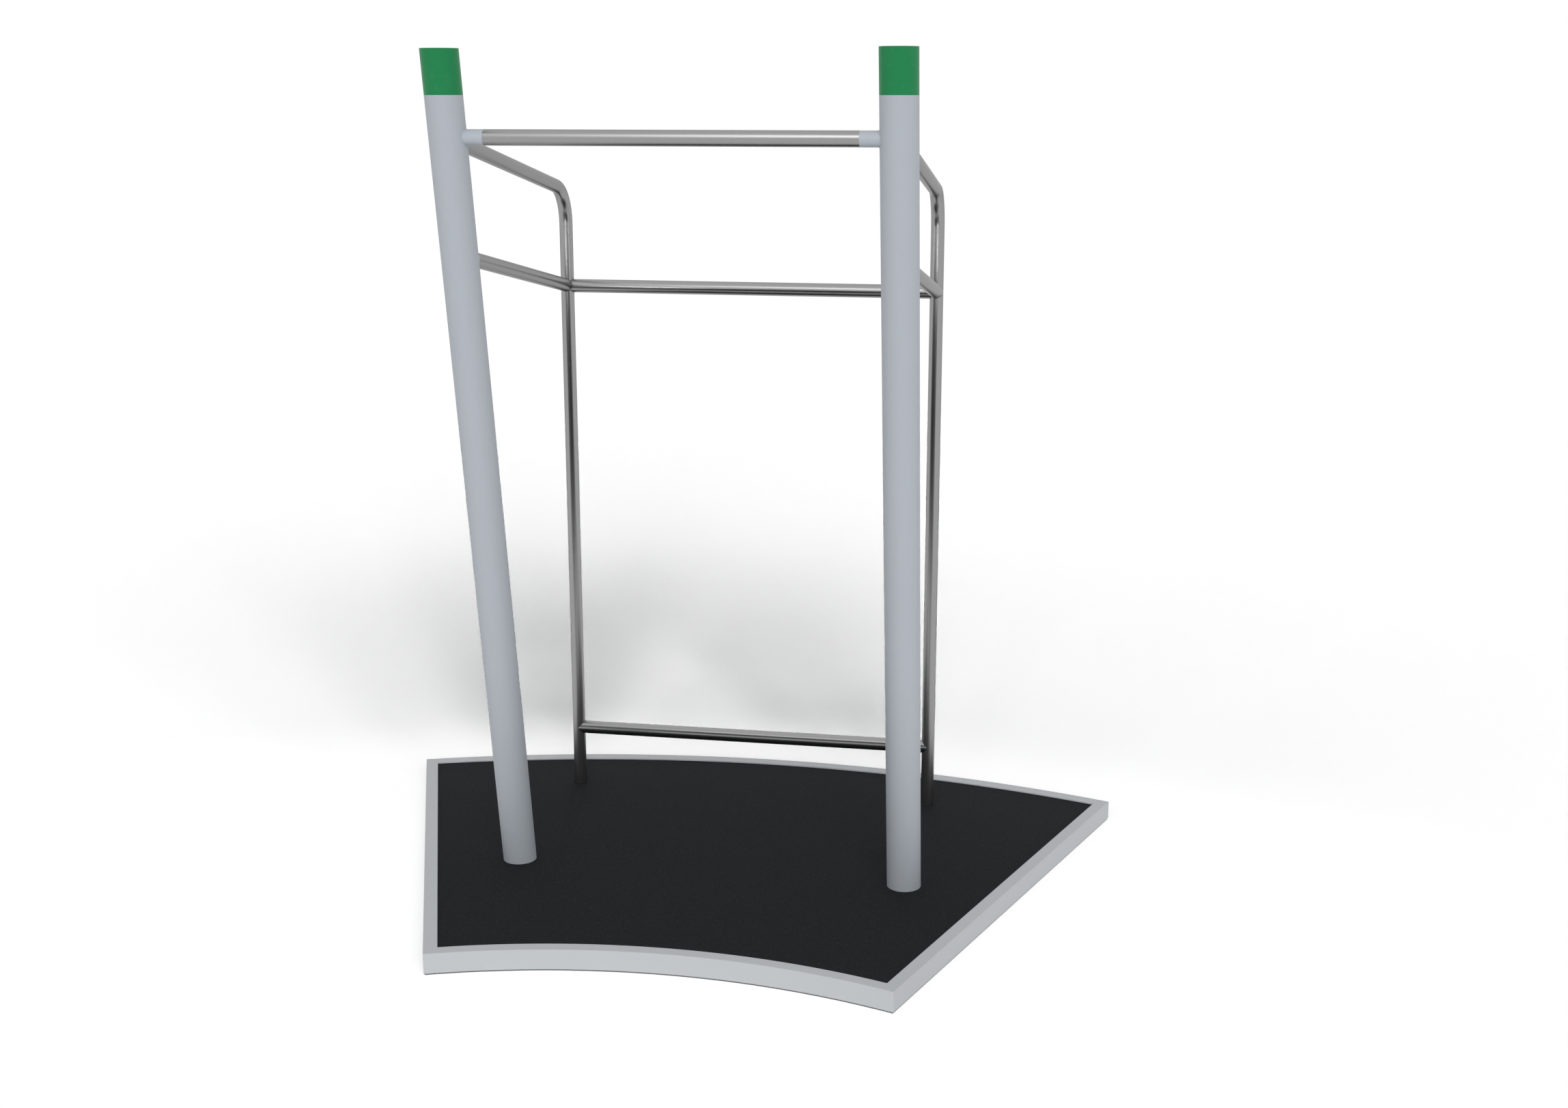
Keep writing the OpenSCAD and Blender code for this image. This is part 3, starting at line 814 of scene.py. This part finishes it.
@dataclass
class Base:
    """The sector-shaped base: edge rails, bearing strips, deck and rubber mat.

    Fields: the mat's top is where faces are as level as top_level. Edges stay sharp over the angle sharp,
    and points closer than merged become one.
    """

    half_angle: float = math.radians(20)
    mat_inner: float = 1.9505
    mat_outer: float = 3.4695
    mat_side: float = 0.0405
    mat_low: float = 0.029
    mat_high: float = 0.059
    mat_rim: float = 0.002
    mat_steps: int = 60
    rim_steps: int = 3
    top_level: float = 0.9
    sharp: float = math.radians(35)
    merged: float = 0.00001
    feet: tuple[Foot, ...] = (
        Foot(y=-0.1474, lean=LAYOUT.slope, hole=0.0513, pocket=0.112, pocket_top=0.051),
        Foot(y=LAYOUT.upright_y, lean=0.0, hole=0.0217, pocket=0.067, pocket_top=0.0473),
    )
    cutter_length: float = 0.2
    cutter_sides: int = 96
    edge: Finish = PowderCoat("edge powder coat", screen_colour(192, 195, 198), roughness=0.6)
    strip: Finish = StripRubber("strip rubber", screen_colour(104, 104, 104))
    zinc: Finish = ZincPlate("zinc")
    crumb: Finish = RubberGranulate("rubber crumb", screen_colour(34, 35, 37))
    mat: Piece | None = field(default=None, init=False)

    def build(self) -> None:
        """Models the mat, which stands for its CAD node."""
        self.mat = mat = self._blank()
        self._trim_sides()
        self._round_rim()
        for side in Side:
            for foot in self.feet:
                self._open(side.value * LAYOUT.half_width, foot)
        pick(mat)
        bpy.ops.object.shade_smooth_by_angle(angle=self.sharp)
        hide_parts("rubber_mat")
        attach(mat, BODY)
        LOG.info("mat: %d faces", len(mat.data.polygons))

    def _blank(self) -> Piece:
        """Spins the mat's radial section about the arc centre.

        Returns:
            The sector, still with radial sides.
        """
        deselect_all()
        middle = (self.mat_inner + self.mat_outer) / 2
        start = (
            -middle * math.sin(self.half_angle),
            LAYOUT.arc_centre_y + middle * math.cos(self.half_angle),
            (self.mat_low + self.mat_high) / 2,
        )
        bpy.ops.mesh.primitive_plane_add(size=1.0, location=start, rotation=(0, math.pi / 2, self.half_angle))
        mat = bpy.context.object
        mat.name = mat.data.name = "mat"
        mat.scale = (self.mat_high - self.mat_low, self.mat_outer - self.mat_inner, 1.0)
        settle_place(mat)
        bpy.ops.object.mode_set(mode="EDIT")
        bpy.ops.mesh.select_all(action="SELECT")
        centre = (0, LAYOUT.arc_centre_y, 0)
        bpy.ops.mesh.spin(steps=self.mat_steps, angle=2 * self.half_angle, center=centre, axis=UP)
        close_seams(self.merged)
        bpy.ops.object.mode_set(mode="OBJECT")
        return mat

    def _trim_sides(self) -> None:
        """Cuts the sector's ends parallel to the side rails."""
        bpy.ops.object.mode_set(mode="EDIT")
        for side in Side:
            outward = Vector((side.value * math.cos(self.half_angle), -math.sin(self.half_angle), 0.0))
            on_side = Vector((0.0, LAYOUT.arc_centre_y, 0.0)) - outward * self.mat_side
            bpy.ops.mesh.select_all(action="SELECT")
            bpy.ops.mesh.bisect(plane_co=on_side, plane_no=outward, use_fill=True, clear_outer=True)
        bpy.ops.object.mode_set(mode="OBJECT")

    def _round_rim(self) -> None:
        """Rounds the edges between the mat's top and its sides."""

        def on_rim(edge: bmesh.types.BMEdge) -> bool:
            """Tells whether an edge has the top on one side only."""
            level = [face.normal.z > self.top_level for face in edge.link_faces]
            return len(level) == 2 and level[0] != level[1]

        bpy.ops.object.mode_set(mode="EDIT")
        round_edges(self.mat, on_rim, self.mat_rim, self.rim_steps)
        bpy.ops.object.mode_set(mode="OBJECT")

    def _open(self, x: float, foot: Foot) -> None:
        """Opens the mat for a foot.

        Args:
            x: X of the foot.
            foot: The opening.
        """
        hole = (x, foot.y, self.mat_high)
        bore(self.mat, foot.hole, self.cutter_length, hole, (foot.lean, 0, 0), self.cutter_sides)
        pocket_y = foot.y + (self.mat_high - self.mat_low) * math.tan(foot.lean) / 2
        pocket = (x, pocket_y, foot.pocket_top / 2)
        bore(self.mat, foot.pocket, foot.pocket_top, pocket, (0, 0, 0), self.cutter_sides)

    def dress(self) -> None:
        """Gives the base its finishes."""
        dress(["front_rail", "rear_rail", *both_sides("rail")], self.edge.material())
        dress(["floor_strips"], self.strip.material())
        deck = both_sides("deck_plate") + ["centre_joist"]
        deck += [f"{ring}_{name}" for ring in ("outer", "inner") for name in both_sides("joist")]
        dress(deck, self.zinc.material())
        coat([self.mat], self.crumb.material())


@dataclass(frozen=True)
class Weld:
    """A weld bead round the end of a tube, where it meets the wall of another tube.

    Fields: the radii of the tube, of the wall that it meets and of the bead, the bead's material slot, which
    is not used, how many ripples it has, how deep they are and how far it stands outside the tube, as shares
    of its radius, and its steps.
    """

    tube: float
    wall: float
    bead: float
    slot: str
    ripples: int = 44
    ripple_depth: float = 0.14
    proud: float = 0.35
    steps: int = 176
    bead_steps: int = 10

    def lay(self, name: str, joint: Vector, wall_axis: Vector, tube_axis: Vector) -> Piece:
        """Lays a bead: a ring round the tube, pushed along it on to the wall's curve.

        Args:
            name: The piece's name.
            joint: Where the two tubes' axes meet.
            wall_axis: Direction of the tube that is welded to.
            tube_axis: Direction of the tube that is welded on, away from the joint.

        Returns:
            The bead.
        """
        deselect_all()
        reach = self.tube + self.proud * self.bead
        bpy.ops.mesh.primitive_torus_add(
            location=joint,
            rotation=tube_axis.to_track_quat("Z", "Y").to_euler(),
            major_segments=self.steps,
            minor_segments=self.bead_steps,
            major_radius=reach,
            minor_radius=self.bead,
        )
        piece = bpy.context.object
        piece.name = piece.data.name = name
        settle_place(piece)
        start = tube_axis.orthogonal().normalized()
        across = tube_axis.cross(start)
        for vertex in piece.data.vertices:
            offset = vertex.co - joint
            spoke = (offset - tube_axis * offset.dot(tube_axis)).normalized()
            turn = math.atan2(spoke.dot(across), spoke.dot(start))
            swell = 1.0 + self.ripple_depth * math.sin(self.ripples * turn)
            ring = spoke * reach
            rise = tube_axis * self._rise(ring, wall_axis, tube_axis)
            vertex.co = joint + ring + (offset - ring) * swell + rise
        bpy.ops.object.shade_smooth()
        return piece

    def _rise(self, ring: Vector, wall_axis: Vector, tube_axis: Vector) -> float:
        """Gives how far along the tube a point of its skin meets the wall.

        Args:
            ring: The point, from the joint, square to the tube.
            wall_axis: Direction of the wall's tube.
            tube_axis: Direction of the tube.

        Returns:
            The distance from the joint along the tube.
        """
        side = ring - wall_axis * ring.dot(wall_axis)
        way = tube_axis - wall_axis * tube_axis.dot(wall_axis)
        middle, square = side.dot(way), way.length_squared
        room = max(middle * middle - square * (side.length_squared - self.wall * self.wall), 0.0)
        return (math.sqrt(room) - middle) / square

    def settle(self, piece: Piece) -> None:
        """Makes a bead part of the object.

        Args:
            piece: The bead.
        """
        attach(piece, BODY)
        LOG.info("%s: %d faces", piece.name, len(piece.data.polygons))


@dataclass(frozen=True)
class Tube:
    """Maker of round steel tubes, finer than the CAD's, because steel shows every facet in what it mirrors.

    Fields: a plain end's rim is looked for within rim_reach radii of its middle, at edges over rim_angle.
    Edges stay sharp over the angle sharp, and points closer than merged become one.
    """

    radius: float
    screw_hole: float = 0.0031
    screw_depth: float = 0.010
    screw_sides: int = 48
    rim: float = 0.0003
    rim_steps: int = 2
    rim_reach: float = 1.001
    rim_angle: float = 1.0
    sides: int = 144
    bend_steps: int = 64
    sharp: float = math.radians(15)
    merged: float = 0.000001

    def begin(self, name: str, start: Vector, way: Vector) -> Piece:
        """Starts a tube with a disc, left selected in edit mode.

        Args:
            name: The piece's name.
            start: The middle of its first end.
            way: The direction that it starts in.

        Returns:
            The piece.
        """
        deselect_all()
        turn = way.to_track_quat("Z", "Y").to_euler()
        bpy.ops.mesh.primitive_circle_add(
            vertices=self.sides, radius=self.radius, fill_type="NGON", location=start, rotation=turn
        )
        piece = bpy.context.object
        piece.name = piece.data.name = name
        settle_place(piece)
        bpy.ops.object.mode_set(mode="EDIT")
        bpy.ops.mesh.select_mode(type="FACE")
        bpy.ops.mesh.select_all(action="SELECT")
        return piece

    def draw(self, way: Vector) -> None:
        """Draws the selected end out."""
        bpy.ops.mesh.extrude_region_move(TRANSFORM_OT_translate={"value": way})

    def bend(self, centre: Vector, axis: Vector, angle: float) -> None:
        """Bends the selected end round a centre."""
        bpy.ops.mesh.spin(steps=self.bend_steps, angle=angle, center=centre, axis=axis)

    def close(self) -> None:
        """Closes the seams of the tube that is in edit mode."""
        close_seams(self.merged)

    def cope(self, joint: Vector, *kept: Vector) -> None:
        """Cuts an end to fit tubes of its own size, whose walls it meets in planes through the joint.

        Args:
            joint: Where the axes meet.
            kept: For each plane, the direction of the side that stays.
        """
        for way in kept:
            bpy.ops.mesh.select_all(action="SELECT")
            bpy.ops.mesh.bisect(plane_co=joint, plane_no=way.normalized(), use_fill=True, clear_inner=True)

    def round_rims(self, piece: Piece, ends: Sequence[Vector]) -> None:
        """Rounds the rims of plain ends.

        Args:
            piece: The tube, in edit mode.
            ends: The middle of each plain end.
        """
        reach = self.radius * self.rim_reach

        def on_rim(edge: bmesh.types.BMEdge) -> bool:
            """Tells whether an edge is a sharp one at a plain end."""
            near = any(all((vertex.co - end).length < reach for vertex in edge.verts) for end in ends)
            return near and len(edge.link_faces) == 2 and edge.calc_face_angle() > self.rim_angle

        round_edges(piece, on_rim, self.rim, self.rim_steps)

    def drill(self, piece: Piece, axis_point: Vector, way: Vector) -> None:
        """Drills a set screw's hole.

        Args:
            piece: The tube.
            axis_point: The point of its axis that the hole points to.
            way: The direction from there to the hole's mouth.
        """
        mouth = axis_point + way * self.radius
        turn = way.to_track_quat("Z", "Y").to_euler()
        bore(piece, self.screw_hole, 2 * self.screw_depth, mouth, turn, self.screw_sides)

    def settle(self, piece: Piece, node: str) -> None:
        """Smooths a finished tube and lets it stand for its CAD node.

        Args:
            piece: The tube.
            node: The CAD node.
        """
        pick(piece)
        bpy.ops.object.shade_smooth_by_angle(angle=self.sharp)
        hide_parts(node)
        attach(piece, BODY)
        LOG.info("%s: %d faces", piece.name, len(piece.data.polygons))


@dataclass
class Posts:
    """The two leaning posts with their caps, foot flanges and stubs for the bars.

    Fields: the radius of the posts and of the weld beads, and the finishes.
    """

    post_radius: float = 0.0508
    bead: float = 0.0012
    # The posts' coat has painted shade that darkens it towards the floor.
    paint: Finish = PowderCoat("post powder coat", screen_colour(177, 183, 190), foot_shade_tone=0.11)
    plastic: Finish = MouldedPlastic("green plastic", screen_colour(31, 129, 77))
    welds: list[Piece] = field(default_factory=list, init=False)

    def build(self) -> None:
        """Lays the weld beads between the posts and their stubs."""
        weld = Weld(LAYOUT.tube_radius, self.post_radius, self.bead, "post_paint")
        top = Vector((-LAYOUT.half_width, LAYOUT.top_y, LAYOUT.top_z))
        mid = Vector((-LAYOUT.half_width, LAYOUT.mid_y, LAYOUT.mid_z))
        lean, back = LAYOUT.lean(), LAYOUT.back()
        left = [
            weld.lay("left_top_weld", top, lean, ALONG_X),
            weld.lay("left_upper_weld", top, lean, back),
            weld.lay("left_mid_weld", mid, lean, back),
        ]
        self.welds = left + [mirrored_copy(piece) for piece in left]
        for piece in self.welds:
            weld.settle(piece)

    def dress(self) -> None:
        """Gives the posts their finishes."""
        paint = self.paint.material()
        coat(self.welds, paint)
        dress(both_sides("post", "post_flange", "top_stub", "upper_stub", "mid_stub"), paint)
        dress(both_sides("post_cap"), self.plastic.material())


@dataclass
class Bars:
    """The stainless bars: top bar, bent upper bars with their uprights, mid bars and rear bars.

    Fields: the height of the uprights' feet; how far from the posts' axes the top bar and the side bars
    start; the heights of the rear bars; how far a set screw is from a bar's end; and how far beyond a
    joint, in radii, a tube reaches until it is coped.
    """

    upright_foot: float = 0.037
    top_reach: float = 0.1008
    side_reach: float = 0.10727
    rear_mid_z: float = 1.7652
    rear_low_z: float = 0.259
    screw_offset: float = 0.0175
    spare: float = 4.0
    tube: Tube = Tube(LAYOUT.tube_radius)
    tubes: dict[Run, list[Piece]] = field(default_factory=dict, init=False)

    def build(self) -> None:
        """Models the bars, each of which stands for its CAD node."""
        upper, mid = self._upper(), self._mid()
        right_upper, right_mid = mirrored_copy(upper), mirrored_copy(mid)
        rear_mid = ("rear_mid_tube", self.rear_mid_z, True)
        rear_low = ("rear_low_tube", self.rear_low_z, False)
        self.tubes = {
            Run.SLOPING: [mid, right_mid],
            Run.BENT: [upper, right_upper],
            Run.ACROSS: [self._top(), self._rear(*rear_mid), self._rear(*rear_low)],
        }
        for pieces in self.tubes.values():
            for piece in pieces:
                self.tube.settle(piece, piece.name.replace("tube", "bar"))

    def _top(self) -> Piece:
        """Models the top bar.

        Returns:
            The bar.
        """
        half = LAYOUT.half_width - self.top_reach
        ends = [Vector((side.value * half, LAYOUT.top_y, LAYOUT.top_z)) for side in Side]
        piece = self.tube.begin("top_tube", ends[0], ends[1] - ends[0])
        self.tube.draw(ends[1] - ends[0])
        self.tube.close()
        self.tube.round_rims(piece, ends)
        for side, end in zip(Side, ends):
            self.tube.drill(piece, end - ALONG_X * (side.value * self.screw_offset), DOWN)
        return piece

    def _finish_front(self, piece: Piece, front: Vector) -> None:
        """Rounds the front end of a side bar and drills its set screw's hole."""
        self.tube.round_rims(piece, [front])
        self.tube.drill(piece, front + LAYOUT.back() * self.screw_offset, LAYOUT.under())

    def _upper(self) -> Piece:
        """Models the left upper bar with its upright, as one bent tube.

        Returns:
            The bar.
        """
        x = -LAYOUT.half_width
        turn = math.pi / 2 - LAYOUT.slope
        foot = Vector((x, LAYOUT.upright_y, self.upright_foot))
        centre = Vector((x, LAYOUT.bend_y, LAYOUT.bend_z))
        bent_end = centre + Vector((0.0, math.cos(turn), math.sin(turn))) * LAYOUT.bend_radius
        front = Vector((x, LAYOUT.top_y, LAYOUT.top_z)) + LAYOUT.back() * self.side_reach
        rise = Vector((0.0, 0.0, LAYOUT.bend_z - self.upright_foot))
        piece = self.tube.begin("left_upper_tube", foot, rise)
        self.tube.draw(rise)
        self.tube.bend(centre, Vector((-1.0, 0.0, 0.0)), turn)
        self.tube.draw(front - bent_end)
        self.tube.close()
        self._finish_front(piece, front)
        return piece

    def _mid(self) -> Piece:
        """Models the left mid bar, coped on to its upright and mitred against the rear mid bar.

        Returns:
            The bar.
        """
        joint = Vector((-LAYOUT.half_width, LAYOUT.upright_y, self.rear_mid_z))
        front = Vector((-LAYOUT.half_width, LAYOUT.mid_y, LAYOUT.mid_z)) + LAYOUT.back() * self.side_reach
        behind = joint + LAYOUT.back() * self.spare * LAYOUT.tube_radius
        piece = self.tube.begin("left_mid_tube", behind, front - behind)
        self.tube.draw(front - behind)
        self.tube.close()
        ahead = -LAYOUT.back()
        self.tube.cope(joint, ahead - UP, ahead + UP, ahead - ALONG_X)
        self._finish_front(piece, front)
        return piece

    def _rear(self, name: str, height: float, mitred: bool) -> Piece:
        """Models a rear bar, coped between the uprights.

        Args:
            name: The piece's name.
            height: The height of its axis.
            mitred: Whether mid bars meet it at its ends.

        Returns:
            The bar.
        """
        spare = Vector((self.spare * LAYOUT.tube_radius, 0.0, 0.0))
        left, right = (Vector((side.value * LAYOUT.half_width, LAYOUT.upright_y, height)) for side in Side)
        piece = self.tube.begin(name, left - spare, right - left)
        self.tube.draw(right - left + spare * 2)
        self.tube.close()
        for side, joint in zip(Side, (left, right)):
            inward = Vector((-side.value, 0.0, 0.0))
            self.tube.cope(joint, inward - UP, inward + UP)
            if mitred:
                self.tube.cope(joint, inward + LAYOUT.back())
        return piece

    def dress(self) -> None:
        """Gives the bars their finishes, with grinding lines that follow each tube."""
        for run in Run:
            coat(self.tubes[run], GroundSteel(f"steel {run.value}", run).material())
        dress(both_sides("upright_flange"), GroundSteel("steel flange", Run.ACROSS).material())


@dataclass
class Fasteners:
    """Spigots, screws, bolts and washers, all zinc plated."""

    zinc: Finish = ZincPlate("plated fasteners", crystal=900.0, roughness=0.34)

    def dress(self) -> None:
        """Gives the fasteners a fine zinc."""
        plated = self.zinc.material()
        dress(both_sides("top_spigot", "upper_spigot", "mid_spigot"), plated)
        dress(["set_screws", "deck_screws"], plated)
        dress([f"{foot}_{part}" for foot in ("post", "upright") for part in ("bolts", "washers")], plated)


@dataclass(frozen=True)
class Lamp:
    """A far lamp that lights everything evenly from one direction.

    Fields: where it stands (degrees round from the front, to the right, and above the floor), how bright
    a white face turned to it is, how wide it looks, in degrees, and whether it casts shadows.
    """

    name: str
    azimuth: float
    elevation: float
    level: float
    width: float = 18.0
    shadows: bool = True

    def light(self) -> None:
        """Sets the lamp up."""
        data = bpy.data.lights.new(self.name, "SUN")
        data.energy = self.level * math.pi
        data.angle = math.radians(self.width)
        data.use_shadow = self.shadows
        lamp = bpy.data.objects.new(self.name, data)
        lamp.rotation_euler = (math.radians(90 - self.elevation), 0.0, math.radians(self.azimuth))
        lamp.visible_glossy = False
        bpy.context.scene.collection.objects.link(lamp)
        LOG.info("%s lamp lit", self.name)


@dataclass(frozen=True)
class Card:
    """A studio card that only shiny surfaces see: a lit one, or a dark one that gives tubes their edge.

    Fields: its face, its middle, its width and height in metres, and how far it is tipped up from lying
    flat, in degrees.
    """

    face: CardFace
    middle: Triple
    width: float
    height: float
    tip: float = 90.0

    def hang(self) -> None:
        """Hangs the card up, out of sight of the camera and of the light."""
        deselect_all()
        bpy.ops.mesh.primitive_plane_add(size=1.0, location=self.middle)
        card = bpy.context.object
        card.name = card.data.name = self.face.name
        card.rotation_euler = (math.radians(self.tip), 0.0, 0.0)
        card.scale = (self.width, self.height, 1.0)
        settle_place(card)
        card.visible_camera = card.visible_diffuse = card.visible_shadow = card.visible_transmission = False
        card.data.materials.append(self.face.material())
        LOG.info("%s hung", self.face.name)


@dataclass
class Studio:
    """Floor, light and camera.

    The dome's number is the light it gives. The camera's lens and sensor are in millimetres.
    """

    floor_reach: float = 90.0
    floor_sides: int = 96
    dome: float = 0.46
    camera_place: Triple = (1.16445, -5.42492, 2.37352)
    camera_down: float = math.radians(13.694)
    camera_left: float = math.radians(9.997)
    camera_lens: float = 43.462
    camera_sensor: float = 36.0
    camera_reach: float = 400.0
    lamps: tuple[Lamp, ...] = (
        Lamp("fill", -48.0, 30.0, 0.07, 40.0, False),
        Lamp("low_middle", 15.0, 22.0, 0.095),
        Lamp("low_right", 27.0, 24.0, 0.055),
        Lamp("far_left", -14.0, 28.0, 0.020),
        Lamp("left", 4.0, 31.0, 0.060),
        Lamp("middle", 16.0, 30.0, 0.070),
        Lamp("high_right", 24.0, 35.0, 0.090),
        Lamp("right", 37.0, 29.0, 0.070),
    )
    cards: tuple[Card, ...] = (
        Card(
            CardFace("strip_light", 1.0, 3.8, nearest=3.0, start=(-3.0, 0.0), end=(-0.4, 0.0)),
            middle=(-1.3, -6.4, 6.2),
            width=3.4,
            height=3.8,
            tip=56.0,
        ),
        Card(
            CardFace("dark_card", 0.4, 0.0, nearest=1.3, start=(0.0, 0.45), end=(0.0, 0.9)),
            middle=(-0.03, -0.9, 1.07),
            width=2.5,
            height=1.25,
        ),
        Card(CardFace("left_spot", 7.0, 7.0, 0.8), (-0.54, -0.3, 1.80), 0.30, 0.10),
        Card(CardFace("right_spot", 7.0, 7.0, 0.8), (0.66, -0.3, 1.80), 0.30, 0.10),
    )

    def build(self) -> None:
        """Lays the floor and sets up the world, the lamps, the cards and the camera."""
        self._lay_floor()
        self._light_world()
        for lamp in self.lamps:
            lamp.light()
        for card in self.cards:
            card.hang()
        self._set_camera()
        bpy.context.scene.view_settings.view_transform = "Standard"

    def _lay_floor(self) -> None:
        """Lays a wide round white floor."""
        deselect_all()
        bpy.ops.mesh.primitive_circle_add(
            vertices=self.floor_sides, radius=self.floor_reach, fill_type="NGON"
        )
        floor = bpy.context.object
        floor.name = floor.data.name = "studio_floor"
        floor.data.materials.append(StudioFloor("studio floor").material())
        LOG.info("studio floor laid")

    def _light_world(self) -> None:
        """Sets an even dome of light, which is seen as white."""
        world = bpy.data.worlds.new("studio dome")
        world.use_nodes = True
        bpy.context.scene.world = world
        shade = Shade(world.node_tree)
        strength = self.dome + shade.seen() * (1.0 - self.dome)
        sky = shade.node("Background", sockets={"Color": WHITE, "Strength": strength})
        shade.node("OutputWorld", sockets={"Surface": sky})

    def _set_camera(self) -> None:
        """Sets the camera where the photograph was taken from."""
        data = bpy.data.cameras.new("camera")
        data.sensor_fit = "HORIZONTAL"
        data.sensor_width = self.camera_sensor
        data.lens = self.camera_lens
        data.clip_end = self.camera_reach
        camera = bpy.data.objects.new("camera", data)
        camera.location = self.camera_place
        camera.rotation_euler = (math.pi / 2 - self.camera_down, 0.0, self.camera_left)
        bpy.context.scene.collection.objects.link(camera)
        bpy.context.scene.camera = camera


def main() -> None:
    """Builds and dresses the sub-assemblies in order, then sets the studio up."""
    logging.basicConfig(level=logging.INFO, format="%(name)s: %(message)s")
    for assembly in (Base(), Posts(), Bars()):
        assembly.build()
        assembly.dress()
    Fasteners().dress()
    Studio().build()


if __name__ == "__main__":
    main()
